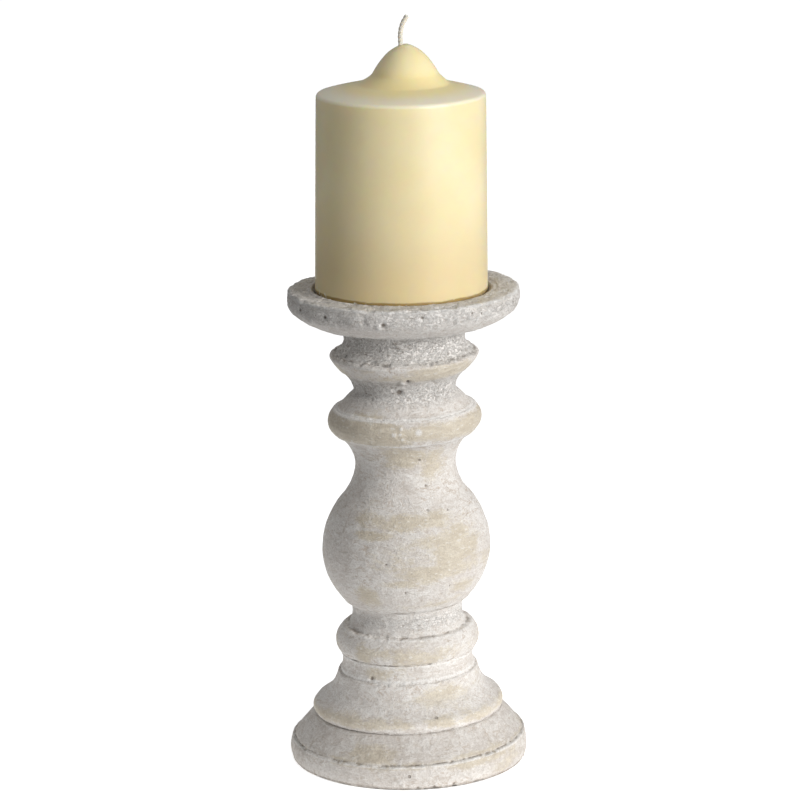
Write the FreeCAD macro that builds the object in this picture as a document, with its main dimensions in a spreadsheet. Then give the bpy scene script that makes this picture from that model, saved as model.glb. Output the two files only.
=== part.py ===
import FreeCAD, Part
import os
import Sketcher
from FreeCAD import Placement, Rotation, Vector

# A turned candlestick for a pillar candle. Four turned sections stand on one axis: foot, pedestal,
# baluster and dish. A screw and two dowels join them, a felt pad lies under the foot, and a steel
# pricket in the dish holds the candle. Millimetres, +Z up, origin on the table at the foot's centre,
# and +X to the side that the wick leans to.

doc = FreeCAD.newDocument("candlestick")
sheet = doc.addObject("Spreadsheet::Sheet", "sizes")
next_row = 1


def sizes(**values):
    """Writes each value into the sheet beside its name, which is also the cell's alias."""
    global next_row
    for name, value in values.items():
        sheet.set("A%d" % next_row, name)
        sheet.set("B%d" % next_row, str(value))
        sheet.setAlias("B%d" % next_row, name)
        next_row += 1
    doc.recompute()


def cell(name):
    return "sizes." + name


def total(*terms):
    return " + ".join(terms)


def value_of(expression):
    return float(sheet.evalExpression(expression))


# ---------------------------------------------------------------- how a piece is made

def new_body(label, level="0", across="0"):
    """A body whose own origin stands at the given height, and at the given place across."""
    body = doc.addObject("PartDesign::Body", label)
    body.Label = label
    body.setExpression(".Placement.Base.x", across)
    body.setExpression(".Placement.Base.z", level)
    return body


def new_sketch(body, name, plane, level="0"):
    """A sketch on one of the body's own origin planes, raised by level along that plane's normal."""
    sketch = body.newObject("Sketcher::SketchObject", name)
    sketch.AttachmentSupport = [(next(f for f in body.Origin.OriginFeatures if f.Role == plane), "")]
    sketch.MapMode = "FlatFace"
    sketch.setExpression("AttachmentOffset.Base.z", level)
    return sketch


def bind(sketch, kind, *place_and_expression):
    """A dimension of the sketch whose value follows an expression on the sheet."""
    *place, expression = place_and_expression
    index = sketch.addConstraint(Sketcher.Constraint(kind, *place, value_of(expression)))
    sketch.setExpression("Constraints[%d]" % index, expression)


def pin_point(sketch, geometry, end, across, up):
    """Holds a sketch point at two expressions, or on an axis where one of them is 0."""
    if across == "0":
        sketch.addConstraint(Sketcher.Constraint("PointOnObject", geometry, end, -2))
    else:
        bind(sketch, "DistanceX", -1, 1, geometry, end, across)
    if up == "0":
        sketch.addConstraint(Sketcher.Constraint("PointOnObject", geometry, end, -1))
    else:
        bind(sketch, "DistanceY", -1, 1, geometry, end, up)


def outline(sketch, start, steps):
    """A closed outline. A step is (None, corner) for a straight edge, or (mid, corner) for an arc that
    passes through mid. Points are pairs of expressions."""
    def vector(point):
        return Vector(value_of(point[0]), value_of(point[1]), 0)

    ends = []
    here = start
    for mid, corner in steps + [(None, start)]:
        a, b = vector(here), vector(corner)
        if mid is None:
            edge = sketch.addGeometry(Part.LineSegment(a, b), False)
            ends.append((edge, 1, 2, here))
        else:
            m = vector(mid)
            turns_left = (m - a).cross(b - m).z > 0
            arc = Part.Arc(a, m, b) if turns_left else Part.Arc(b, m, a)
            edge = sketch.addGeometry(arc, False)
            ends.append((edge, 1, 2, here) if turns_left else (edge, 2, 1, here))
            through = sketch.addGeometry(Part.Point(m), True)
            sketch.addConstraint(Sketcher.Constraint("PointOnObject", through, 1, edge))
            pin_point(sketch, through, 1, *mid)
        here = corner
    for (edge, first, _, point), (before, _, last, _) in zip(ends, ends[-1:] + ends[:-1]):
        sketch.addConstraint(Sketcher.Constraint("Coincident", before, last, edge, first))
        pin_point(sketch, edge, first, *point)


def turn(body, sketch):
    """The solid that the outline sweeps about the body's upright axis."""
    solid = body.newObject("PartDesign::Revolution", "turned_" + body.Name)
    solid.Profile = sketch
    solid.ReferenceAxis = (sketch, ["V_Axis"])
    solid.Angle = 360.0
    sketch.Visibility = False
    return solid


def turned_steps(elements):
    """An outline's steps for a stack of turned elements, each (name, shape). An "arc" has the cells
    NAME_height, NAME_mid (its radius at half its height) and NAME_top; a "step" has only NAME_top,
    the radius that the tool steps in to. Also returns the height that the stack reaches."""
    steps = []
    level = "0"
    for name, shape in elements:
        if shape == "step":
            steps.append((None, (cell(name + "_top"), level)))
            continue
        half = total(level, cell(name + "_height") + " / 2")
        level = total(level, cell(name + "_height"))
        steps.append(((cell(name + "_mid"), half), (cell(name + "_top"), level)))
    return steps, level


def turned_piece(label, elements, base_radius, level, across="0"):
    """A body turned from a stack of elements, standing at a level."""
    body = new_body(label, level, across)
    sketch = new_sketch(body, label + "_outline", "XZ_Plane")
    steps, height = turned_steps(elements)
    outline(sketch, ("0", "0"), [(None, (base_radius, "0"))] + steps + [(None, ("0", height))])
    turn(body, sketch)
    return body, height


def circles(sketch, radius, places):
    for across in places:
        circle = sketch.addGeometry(Part.Circle(Vector(value_of(across), 0, 0), Vector(0, 0, 1),
                                                value_of(radius)), False)
        bind(sketch, "Radius", circle, radius)
        if across == "0":
            sketch.addConstraint(Sketcher.Constraint("Coincident", circle, 3, -1, 1))
        else:
            sketch.addConstraint(Sketcher.Constraint("PointOnObject", circle, 3, -1))
            bind(sketch, "DistanceX", -1, 1, circle, 3, across)


def hole(body, name, radius, level, depth, upwards=False, places=("0",)):
    """Round holes cut from a level, downwards unless told otherwise."""
    sketch = new_sketch(body, name + "_circle", "XY_Plane", level)
    circles(sketch, radius, places)
    before = body.Shape.Volume if body.Tip else 0.0
    pocket = body.newObject("PartDesign::Pocket", name)
    pocket.Profile = sketch
    pocket.Type = "Length"
    pocket.setExpression("Length", depth)
    pocket.Reversed = upwards
    sketch.Visibility = False
    doc.recompute()
    if not body.Shape.Volume < before - 0.5:
        raise RuntimeError("hole %s cut nothing" % name)
    return pocket


# ---------------------------------------------------------------- foot

# The foot is a wide disc: a rounded rim, then a slightly hollow slope up to the joint.
sizes(
    felt_proud=0.5,
    felt_thickness=1.5,
    felt_margin=4.3,
    felt_gap=0.4,
    foot_base=48.9,
    rim_height=9.6,
    rim_mid=49.5,
    rim_top=47.8,
    slope_height=10.3,
    slope_mid=43.7,
    slope_top=39.2,
    screw_radius=2.1,
    screw_gap=0.3,
    washer_radius=7.0,
    washer_thickness=1.2,
    washer_gap=1.0,
    counterbore_depth=6.0,
)
foot, foot_height = turned_piece("foot", [("rim", "arc"), ("slope", "arc")],
                                 cell("foot_base"), cell("felt_proud"))
doc.recompute()
felt_recess = "(sizes.felt_thickness - sizes.felt_proud)"
felt_radius = "(sizes.foot_base - sizes.felt_margin)"
screw_hole = "(sizes.screw_radius + sizes.screw_gap)"
hole(foot, "felt_recess", total(felt_radius, cell("felt_gap")), "0", felt_recess, upwards=True)
hole(foot, "counterbore", "sizes.washer_radius + sizes.washer_gap", felt_recess,
     cell("counterbore_depth"), upwards=True)
hole(foot, "screw_way", screw_hole, "0", foot_height, upwards=True)

# ---------------------------------------------------------------- pedestal

# The pedestal rises in a torus, a deep hollow, a narrow band, a second torus and a waist.
sizes(
    pedestal_base=38.4,
    torus_height=5.6,
    torus_mid=39.7,
    torus_top=38.0,
    hollow_height=12.6,
    hollow_mid=31.3,
    hollow_top=29.0,
    band_quirk_top=28.2,
    band_height=7.9,
    band_mid=27.0,
    band_top=27.8,
    upper_torus_height=11.3,
    upper_torus_mid=29.7,
    upper_torus_top=25.7,
    waist_quirk_top=24.8,
    waist_height=9.9,
    waist_mid=22.7,
    waist_top=23.6,
    screw_pilot_radius=2.15,
    screw_reach=32.0,
    screw_end_gap=1.5,
    stem_dowel_radius=6.0,
    stem_dowel_length=42.0,
    dowel_glue_gap=0.05,
    dowel_end_gap=1.0,
)
pedestal_level = total(cell("felt_proud"), foot_height)
pedestal, pedestal_height = turned_piece(
    "pedestal",
    [("torus", "arc"), ("hollow", "arc"), ("band_quirk", "step"), ("band", "arc"),
     ("upper_torus", "arc"), ("waist_quirk", "step"), ("waist", "arc")],
    cell("pedestal_base"), pedestal_level)
doc.recompute()
# The screw's shank starts under the washer, at the roof of the counterbore.
washer_level = total(cell("felt_proud"), felt_recess, cell("counterbore_depth")) + " - sizes.washer_thickness"
screw_tip_level = total(washer_level, cell("screw_reach"))
hole(pedestal, "screw_pilot", cell("screw_pilot_radius"), "0",
     "%s - (%s) + sizes.screw_end_gap" % (screw_tip_level, pedestal_level), upwards=True)
stem_hole_radius = total(cell("stem_dowel_radius"), cell("dowel_glue_gap"))
stem_hole_depth = "sizes.stem_dowel_length / 2 + sizes.dowel_end_gap"
hole(pedestal, "stem_dowel_hole", stem_hole_radius, pedestal_height, stem_hole_depth)

# ---------------------------------------------------------------- baluster

# The baluster is one long turning: bulb, throat, lower bead, cove, upper bead and collar.
sizes(
    baluster_base=24.4,
    bulb_rise_height=22.3,
    bulb_rise_mid=32.4,
    bulb_rise_top=35.0,
    bulb_fall_height=21.9,
    bulb_fall_mid=33.1,
    bulb_fall_top=27.1,
    throat_height=14.6,
    throat_mid=22.4,
    throat_top=20.7,
    flare_height=13.3,
    flare_mid=22.4,
    flare_top=28.4,
    lower_bead_height=10.2,
    lower_bead_mid=31.6,
    lower_bead_top=29.0,
    cove_quirk_top=28.0,
    cove_fall_height=7.3,
    cove_fall_mid=24.6,
    cove_fall_top=20.8,
    cove_rise_height=7.6,
    cove_rise_mid=22.2,
    cove_rise_top=26.0,
    upper_bead_height=8.9,
    upper_bead_mid=30.6,
    upper_bead_top=28.0,
    collar_quirk_top=27.2,
    collar_height=10.4,
    collar_mid=23.8,
    collar_top=27.6,
    dish_dowel_radius=5.0,
    dish_dowel_length=27.0,
    dish_dowel_in_dish=8.0,
)
baluster_level = total(pedestal_level, pedestal_height)
baluster, baluster_height = turned_piece(
    "baluster",
    [("bulb_rise", "arc"), ("bulb_fall", "arc"), ("throat", "arc"), ("flare", "arc"),
     ("lower_bead", "arc"), ("cove_quirk", "step"), ("cove_fall", "arc"), ("cove_rise", "arc"),
     ("upper_bead", "arc"), ("collar_quirk", "step"), ("collar", "arc")],
    cell("baluster_base"), baluster_level)
doc.recompute()
hole(baluster, "stem_dowel_socket", stem_hole_radius, "0", stem_hole_depth, upwards=True)
dish_hole_radius = total(cell("dish_dowel_radius"), cell("dowel_glue_gap"))
hole(baluster, "dish_dowel_hole", dish_hole_radius, baluster_height,
     "sizes.dish_dowel_length - sizes.dish_dowel_in_dish + sizes.dowel_end_gap")

# ---------------------------------------------------------------- dish

# The dish has a bowl-shaped underside, a rounded lip and a flat top. Its seat is let in for the
# candle, then again for the pricket's plate and for the head of the spike.
sizes(
    dish_base=27.0,
    belly_height=8.0,
    belly_mid=42.0,
    belly_top=46.4,
    lip_height=7.8,
    lip_mid=47.7,
    lip_top=46.0,
    candle_radius=35.3,
    seat_gap=1.9,
    seat_depth=1.5,
    plate_radius=15.0,
    plate_thickness=1.0,
    plate_gap=0.3,
    spike_head_radius=3.2,
    spike_head_thickness=1.0,
    spike_head_gap=0.2,
    plate_screw_place=9.5,
    plate_screw_radius=1.2,
    plate_screw_length=9.0,
    plate_screw_gap=0.1,
)
dish_level = total(baluster_level, baluster_height)
dish, dish_height = turned_piece("dish", [("belly", "arc"), ("lip", "arc")],
                                 cell("dish_base"), dish_level)
doc.recompute()
seat_floor = dish_height + " - sizes.seat_depth"
plate_floor = seat_floor + " - sizes.plate_thickness"
screw_places = ("-sizes.plate_screw_place", "sizes.plate_screw_place")
hole(dish, "candle_seat", total(cell("candle_radius"), cell("seat_gap")), dish_height,
     cell("seat_depth"))
hole(dish, "plate_recess", total(cell("plate_radius"), cell("plate_gap")), seat_floor,
     cell("plate_thickness"))
hole(dish, "spike_head_recess", total(cell("spike_head_radius"), cell("spike_head_gap")), plate_floor,
     cell("spike_head_thickness"))
hole(dish, "plate_screw_pilots", total(cell("plate_screw_radius"), cell("plate_screw_gap")), plate_floor,
     "sizes.plate_screw_length - sizes.plate_thickness + 1", places=screw_places)
hole(dish, "dish_dowel_socket", dish_hole_radius, "0",
     "sizes.dish_dowel_in_dish + sizes.dowel_end_gap", upwards=True)

# ---------------------------------------------------------------- dowels

sizes(dowel_chamfer=1.0)


def dowel(label, radius, length, level):
    """A beech dowel with bevelled ends."""
    body = new_body(label, level)
    sketch = new_sketch(body, label + "_outline", "XZ_Plane")
    bevel = cell("dowel_chamfer")
    outline(sketch, ("0", "0"), [
        (None, (radius + " - " + bevel, "0")),
        (None, (radius, bevel)),
        (None, (radius, length + " - " + bevel)),
        (None, (radius + " - " + bevel, length)),
        (None, ("0", length)),
    ])
    turn(body, sketch)
    return body


dowel("stem_dowel", cell("stem_dowel_radius"), cell("stem_dowel_length"),
      baluster_level + " - sizes.stem_dowel_length / 2")
dowel("dish_dowel", cell("dish_dowel_radius"), cell("dish_dowel_length"),
      dish_level + " + sizes.dish_dowel_in_dish - sizes.dish_dowel_length")

# ---------------------------------------------------------------- foot screw, washer and felt

# A pan-head wood screw stands head down in the counterbore, with a plain washer on its shoulder.
sizes(
    screw_head_radius=4.2,
    screw_head_height=2.8,
    screw_point_height=6.0,
    screw_slot_width=1.2,
    screw_slot_depth=1.2,
)
foot_screw = new_body("foot_screw", washer_level + " - sizes.screw_head_height")
screw_outline = new_sketch(foot_screw, "foot_screw_outline", "XZ_Plane")
head_top = cell("screw_head_height")
point_start = "sizes.screw_head_height + sizes.screw_reach - sizes.screw_point_height"
outline(screw_outline, ("0", "0"), [
    (None, ("sizes.screw_head_radius * 0.6", "0")),
    (("sizes.screw_head_radius * 0.93", "sizes.screw_head_height * 0.3"),
     (cell("screw_head_radius"), head_top)),
    (None, (cell("screw_radius"), head_top)),
    (None, (cell("screw_radius"), point_start)),
    (None, ("0", "sizes.screw_head_height + sizes.screw_reach")),
])
turn(foot_screw, screw_outline)
doc.recompute()


def drive_slot(body, name, width, length, depth, level="0", upwards=True, places=("0",)):
    """A straight slot across a screw's head, cut from a level."""
    sketch = new_sketch(body, name + "_rectangle", "XY_Plane", level)
    for across in places:
        x, half_w, half_l = value_of(across), value_of(width) / 2, value_of(length) / 2
        corners = [Vector(x - half_w, -half_l, 0), Vector(x + half_w, -half_l, 0),
                   Vector(x + half_w, half_l, 0), Vector(x - half_w, half_l, 0)]
        first = sketch.GeometryCount
        for corner, following in zip(corners, corners[1:] + corners[:1]):
            sketch.addGeometry(Part.LineSegment(corner, following), False)
        for side in range(4):
            sketch.addConstraint(Sketcher.Constraint("Coincident", first + side, 2,
                                                     first + (side + 1) % 4, 1))
        for side in (0, 2):
            sketch.addConstraint(Sketcher.Constraint("Horizontal", first + side))
        for side in (1, 3):
            sketch.addConstraint(Sketcher.Constraint("Vertical", first + side))
        bind(sketch, "DistanceX", first, 1, first, 2, width)
        bind(sketch, "DistanceY", first + 1, 1, first + 1, 2, length)
        bind(sketch, "DistanceX", -1, 1, first, 2, "%s + %s / 2" % (across, width))
        bind(sketch, "DistanceY", -1, 1, first + 1, 2, length + " / 2")
    before = body.Shape.Volume
    pocket = body.newObject("PartDesign::Pocket", name)
    pocket.Profile = sketch
    pocket.Type = "Length"
    pocket.setExpression("Length", depth)
    pocket.Reversed = upwards
    sketch.Visibility = False
    doc.recompute()
    if not body.Shape.Volume < before - 0.05:
        raise RuntimeError("slot %s cut nothing" % name)


drive_slot(foot_screw, "foot_screw_slot", cell("screw_slot_width"), "sizes.screw_head_radius * 2.5",
           cell("screw_slot_depth"))

washer = new_body("foot_washer", washer_level)
washer_ring = new_sketch(washer, "washer_ring", "XY_Plane")
circles(washer_ring, cell("washer_radius"), ["0"])
circles(washer_ring, screw_hole, ["0"])
washer_pad = washer.newObject("PartDesign::Pad", "washer_disc")
washer_pad.Profile = washer_ring
washer_pad.setExpression("Length", cell("washer_thickness"))

felt = new_body("felt_pad")
felt_disc = new_sketch(felt, "felt_circle", "XY_Plane")
circles(felt_disc, felt_radius, ["0"])
felt_sheet = felt.newObject("PartDesign::Pad", "felt_sheet")
felt_sheet.Profile = felt_disc
felt_sheet.setExpression("Length", cell("felt_thickness"))

# ---------------------------------------------------------------- pricket

# A steel plate lies flush in the seat. The spike comes up through it, with its head held below, and
# two countersunk screws beside it go down into the dish.
sizes(
    spike_radius=1.6,
    spike_tip_radius=0.35,
    spike_length=17.0,
    spike_straight=3.0,
    spike_hole_gap=0.05,
    plate_screw_head_radius=2.3,
    plate_screw_point=3.0,
    plate_screw_slot_width=0.7,
    plate_screw_slot_depth=0.4,
)
plate = new_body("pricket_plate", total(dish_level, plate_floor))
plate_ring = new_sketch(plate, "plate_ring", "XY_Plane")
circles(plate_ring, cell("plate_radius"), ["0"])
circles(plate_ring, total(cell("spike_radius"), cell("spike_hole_gap")), ["0"])
plate_disc = plate.newObject("PartDesign::Pad", "plate_disc")
plate_disc.Profile = plate_ring
plate_disc.setExpression("Length", cell("plate_thickness"))
doc.recompute()
head_gap = total(cell("plate_screw_head_radius"), cell("plate_screw_gap"))
shank_gap = total(cell("plate_screw_radius"), cell("plate_screw_gap"))
countersinks = new_sketch(plate, "plate_countersinks", "XZ_Plane")
outline(countersinks, (cell("plate_screw_place"), "0"), [
    (None, (total(cell("plate_screw_place"), shank_gap), "0")),
    (None, (total(cell("plate_screw_place"), head_gap), cell("plate_thickness"))),
    (None, (cell("plate_screw_place"), cell("plate_thickness"))),
])
countersinks_axis = countersinks.addGeometry(Part.LineSegment(
    Vector(value_of(cell("plate_screw_place")), 0, 0),
    Vector(value_of(cell("plate_screw_place")), value_of(cell("plate_thickness")), 0)), True)
countersinks.addConstraint(Sketcher.Constraint("Vertical", countersinks_axis))
pin_point(countersinks, countersinks_axis, 1, cell("plate_screw_place"), "0")
bind(countersinks, "DistanceY", countersinks_axis, 1, countersinks_axis, 2, cell("plate_thickness"))
before_countersinks = plate.Shape.Volume
countersink = plate.newObject("PartDesign::Groove", "plate_countersink")
countersink.Profile = countersinks
countersink.ReferenceAxis = (countersinks, ["Axis0"])
countersink.Angle = 360.0
countersink_pair = plate.newObject("PartDesign::PolarPattern", "plate_countersink_pair")
countersink_pair.Originals = [countersink]
countersink_pair.Axis = (plate_ring, ["N_Axis"])
countersink_pair.Angle = 360.0
countersink_pair.Occurrences = 2
plate.Tip = countersink_pair
doc.recompute()
if not plate.Shape.Volume < before_countersinks - 10.0:
    raise RuntimeError("the plate's countersinks cut too little")

spike = new_body("pricket_spike", total(dish_level, plate_floor) + " - sizes.spike_head_thickness")
spike_outline = new_sketch(spike, "spike_outline", "XZ_Plane")
shaft_start = cell("spike_head_thickness")
taper_start = total(shaft_start, cell("plate_thickness"), cell("spike_straight"))
spike_top = total(shaft_start, cell("plate_thickness"), cell("spike_length"))
outline(spike_outline, ("0", "0"), [
    (None, (cell("spike_head_radius"), "0")),
    (None, (cell("spike_head_radius"), shaft_start)),
    (None, (cell("spike_radius"), shaft_start)),
    (None, (cell("spike_radius"), taper_start)),
    (None, (cell("spike_tip_radius"), spike_top)),
    (None, ("0", spike_top)),
])
turn(spike, spike_outline)

# One node holds both plate screws, each a separate solid.
plate_screw_level = "%s - sizes.plate_screw_length" % total(dish_level, seat_floor)
plate_screw = new_body("one_plate_screw", plate_screw_level, screw_places[1])
plate_screw_outline = new_sketch(plate_screw, "plate_screw_outline", "XZ_Plane")
outline(plate_screw_outline, ("0", "0"), [
    (None, (cell("plate_screw_radius"), cell("plate_screw_point"))),
    (None, (cell("plate_screw_radius"), "sizes.plate_screw_length - sizes.plate_thickness")),
    (None, (cell("plate_screw_head_radius"), cell("plate_screw_length"))),
    (None, ("0", cell("plate_screw_length"))),
])
turn(plate_screw, plate_screw_outline)
doc.recompute()
drive_slot(plate_screw, "plate_screw_slot", cell("plate_screw_slot_width"),
           "sizes.plate_screw_head_radius * 2.5", cell("plate_screw_slot_depth"),
           level=cell("plate_screw_length"), upwards=False)
other_screw = doc.addObject("App::Link", "other_plate_screw")
other_screw.LinkedObject = plate_screw
other_screw.LinkTransform = False
other_screw.setExpression(".Placement.Base.x", screw_places[0])
other_screw.setExpression(".Placement.Base.z", plate_screw_level)
screw_pair = doc.addObject("Part::Compound", "pricket_screws")
screw_pair.Label = "pricket_screws"
screw_pair.Links = [plate_screw, other_screw]

# ---------------------------------------------------------------- candle and wick

# The candle is cast: a barely tapered side, a small rounded rim, a brow that rises to the foot of a
# peaked dome, and a drilled hole for the spike. It stands a little to one side of the spike.
sizes(
    candle_offset=0.8,
    side_height=80.3,
    side_mid=34.9,
    side_top=34.4,
    candle_rim_height=1.2,
    candle_rim_mid=34.15,
    candle_rim_top=33.3,
    brow_height=3.5,
    brow_mid=26.6,
    brow_top=19.0,
    dome_foot_height=3.9,
    dome_foot_mid=15.9,
    dome_foot_top=13.6,
    dome_flank_height=7.9,
    dome_flank_mid=11.2,
    dome_flank_top=8.0,
    crown_height=4.2,
    crown_mid=5.4,
    crown_top=1.6,
    spike_clearance=0.4,
    spike_end_gap=2.0,
    wick_radius=1.0,
    wick_hole_gap=0.05,
    wick_foot=25.0,
)
candle_level = total(dish_level, seat_floor)
candle, candle_height = turned_piece(
    "candle",
    [("side", "arc"), ("candle_rim", "arc"), ("brow", "arc"), ("dome_foot", "arc"),
     ("dome_flank", "arc"), ("crown", "arc")],
    cell("candle_radius"), candle_level, "-sizes.candle_offset")
doc.recompute()
hole(candle, "spike_hole", total(cell("spike_radius"), cell("spike_clearance")), "0",
     total(cell("spike_length"), cell("spike_end_gap")), upwards=True, places=[cell("candle_offset")])
hole(candle, "wick_hole", total(cell("wick_radius"), cell("wick_hole_gap")), candle_height,
     "%s - sizes.wick_foot" % candle_height)

# The wick runs up the candle, stands straight for a moment and then leans to one side.
sizes(
    wick_straight=2.3,
    wick_bend_radius=10.0,
    wick_lean_degrees=20.0,
    wick_lean_length=5.0,
)
wick = new_body("wick", candle_level, "-sizes.candle_offset")
wick_path = new_sketch(wick, "wick_path", "XZ_Plane")
bend_start = total(candle_height, cell("wick_straight"))
lean = "(sizes.wick_lean_degrees * 1 deg)"
bend_end = ("sizes.wick_bend_radius * (1 - cos(%s))" % lean,
            "%s + sizes.wick_bend_radius * sin(%s)" % (bend_start, lean))
bend_mid = ("sizes.wick_bend_radius * (1 - cos(%s / 2))" % lean,
            "%s + sizes.wick_bend_radius * sin(%s / 2)" % (bend_start, lean))
wick_tip = ("%s + sizes.wick_lean_length * sin(%s)" % (bend_end[0], lean),
            "%s + sizes.wick_lean_length * cos(%s)" % (bend_end[1], lean))


def path_vector(point):
    return Vector(value_of(point[0]), value_of(point[1]), 0)


wick_foot = ("0", cell("wick_foot"))
straight = wick_path.addGeometry(Part.LineSegment(path_vector(wick_foot), path_vector(("0", bend_start))), False)
bend = wick_path.addGeometry(Part.Arc(path_vector(bend_end), path_vector(bend_mid),
                                      path_vector(("0", bend_start))), False)
leaning = wick_path.addGeometry(Part.LineSegment(path_vector(bend_end), path_vector(wick_tip)), False)
wick_path.addConstraint(Sketcher.Constraint("Coincident", straight, 2, bend, 2))
wick_path.addConstraint(Sketcher.Constraint("Coincident", bend, 1, leaning, 1))
bend_point = wick_path.addGeometry(Part.Point(path_vector(bend_mid)), True)
wick_path.addConstraint(Sketcher.Constraint("PointOnObject", bend_point, 1, bend))
pin_point(wick_path, straight, 1, *wick_foot)
pin_point(wick_path, straight, 2, "0", bend_start)
pin_point(wick_path, bend_point, 1, *bend_mid)
pin_point(wick_path, leaning, 1, *bend_end)
pin_point(wick_path, leaning, 2, *wick_tip)
wick_section = new_sketch(wick, "wick_section", "XY_Plane", cell("wick_foot"))
circles(wick_section, cell("wick_radius"), ["0"])
wick_cord = wick.newObject("PartDesign::AdditivePipe", "wick_cord")
wick_cord.Profile = wick_section
wick_cord.Spine = wick_path
wick_path.Visibility = False
wick_section.Visibility = False

# ---------------------------------------------------------------- check and write

doc.recompute()
for item in doc.Objects:
    if "Invalid" in item.State or "Error" in item.State:
        raise RuntimeError("%s failed to build" % item.Name)

os.makedirs("parts", exist_ok=True)
for label in ("felt_pad", "foot", "foot_screw", "foot_washer", "pedestal", "stem_dowel", "baluster",
              "dish_dowel", "dish", "pricket_plate", "pricket_spike", "pricket_screws", "candle", "wick"):
    piece = doc.getObjectsByLabel(label)[0]
    shape = piece.Shape
    if shape.isNull() or not shape.isValid() or not shape.Solids:
        raise RuntimeError("%s has no sound solid" % label)
    shape.exportStep(os.path.join("parts", label + ".step"))
    box = shape.BoundBox
    print("%-15s z %7.2f to %7.2f  x %7.2f to %7.2f  volume %9.1f" %
          (label, box.ZMin, box.ZMax, box.XMin, box.XMax, shape.Volume))
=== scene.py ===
import bpy
import math
import numpy as np
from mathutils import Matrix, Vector


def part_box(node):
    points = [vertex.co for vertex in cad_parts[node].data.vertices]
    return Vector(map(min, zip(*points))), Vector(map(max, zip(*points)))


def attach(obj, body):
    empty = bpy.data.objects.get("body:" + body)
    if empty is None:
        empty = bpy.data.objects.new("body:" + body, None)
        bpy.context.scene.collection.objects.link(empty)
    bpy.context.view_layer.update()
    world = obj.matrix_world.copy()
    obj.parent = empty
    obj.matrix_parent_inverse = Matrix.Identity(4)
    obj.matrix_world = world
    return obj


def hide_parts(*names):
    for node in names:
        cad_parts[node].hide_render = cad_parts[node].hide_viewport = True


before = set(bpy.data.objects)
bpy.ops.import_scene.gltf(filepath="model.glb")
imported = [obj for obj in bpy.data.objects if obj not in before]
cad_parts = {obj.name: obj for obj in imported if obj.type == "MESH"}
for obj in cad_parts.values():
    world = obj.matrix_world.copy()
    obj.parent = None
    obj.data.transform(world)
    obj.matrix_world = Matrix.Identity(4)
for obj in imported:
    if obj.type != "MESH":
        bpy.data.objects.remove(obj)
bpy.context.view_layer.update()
MM = 0.001

# ---------------------------------------------------------------- felt pad
# A disc of pressed wool felt, glued into a shallow recess under the foot so that the candlestick
# doesn't scratch what it stands on. The grey-brown fibres lie flat and every way.


def add(tree, kind, settings=None, **feeds):
    """A node. Its options come first, then each input by name: a value, or the output that feeds it."""
    made = tree.nodes.new(kind)
    for option, value in (settings or {}).items():
        setattr(made, option, value)
    for name, value in feeds.items():
        wanted = name.replace("_", " ")
        socket = next(s for s in made.inputs if s.name == wanted and s.enabled)
        if isinstance(value, bpy.types.NodeSocket):
            tree.links.new(value, socket)
        else:
            socket.default_value = value
    return made


def calc(tree, operation, *values):
    """The result of a sum on numbers or sockets."""
    made = tree.nodes.new("ShaderNodeMath")
    made.operation = operation
    for socket, value in zip(made.inputs, values):
        if isinstance(value, bpy.types.NodeSocket):
            tree.links.new(value, socket)
        else:
            socket.default_value = value
    return made.outputs[0]


def times(tree, *factors):
    """The product of numbers or sockets."""
    product = factors[0]
    for factor in factors[1:]:
        product = calc(tree, "MULTIPLY", product, factor)
    return product


def ramp(tree, value, low, high, to_low=0.0, to_high=1.0):
    """Turns a value smoothly from to_low, at low, into to_high, at high."""
    made = add(tree, "ShaderNodeMapRange", {"interpolation_type": "SMOOTHSTEP"}, Value=value)
    for name, number in (("From Min", low), ("From Max", high), ("To Min", to_low), ("To Max", to_high)):
        made.inputs[name].default_value = number
    return made.outputs["Result"]


def noise(tree, place, scale, detail=3.0, roughness=0.55, seed=0.0, twist=0.0):
    """Cloudy noise around 0.5. The scale is in grains per metre."""
    return add(tree, "ShaderNodeTexNoise", {"noise_dimensions": "4D"}, Vector=place, Scale=scale,
               Detail=detail, Roughness=roughness, W=seed, Distortion=twist).outputs[0]


def strands(tree, cloud, wide, level=0.5):
    """Thin winding lines, where a cloud passes through a level."""
    off = calc(tree, "ABSOLUTE", calc(tree, "SUBTRACT", cloud, level))
    return ramp(tree, off, wide, 0.0)


def scale_vector(tree, place, by):
    """A place squeezed or drawn out, so that a pattern on it runs round the piece or up it."""
    made = tree.nodes.new("ShaderNodeVectorMath")
    made.operation = "MULTIPLY"
    tree.links.new(place, made.inputs[0])
    made.inputs[1].default_value = by
    return made.outputs[0]


def mixed(tree, share, first, second):
    """One colour laid over another by a share from 0 to 1."""
    made = tree.nodes.new("ShaderNodeMix")
    made.data_type = "RGBA"
    made.clamp_factor = True
    for socket, value in ((made.inputs[0], share), (made.inputs[6], first), (made.inputs[7], second)):
        if isinstance(value, bpy.types.NodeSocket):
            tree.links.new(value, socket)
        elif isinstance(value, tuple):
            socket.default_value = (*value, 1.0)
        else:
            socket.default_value = value
    return made.outputs[2]


def new_finish(name):
    """A new material: the material, its tree, its shader and the place on the piece."""
    finish = bpy.data.materials.new(name)
    finish.use_nodes = True
    tree = finish.node_tree
    return finish, tree, tree.nodes["Principled BSDF"], add(tree, "ShaderNodeTexCoord").outputs["Object"]


def settle(shader, **settings):
    """Sets what is the same all over a piece, on the shader's own sockets."""
    for name, value in settings.items():
        shader.inputs[name.replace("_", " ")].default_value = value


def bumped(tree, height, deep, strength=1.0):
    """A normal from a height between 0 and 1, that stands for deep metres."""
    return add(tree, "ShaderNodeBump", Height=height, Distance=deep, Strength=strength).outputs["Normal"]


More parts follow.
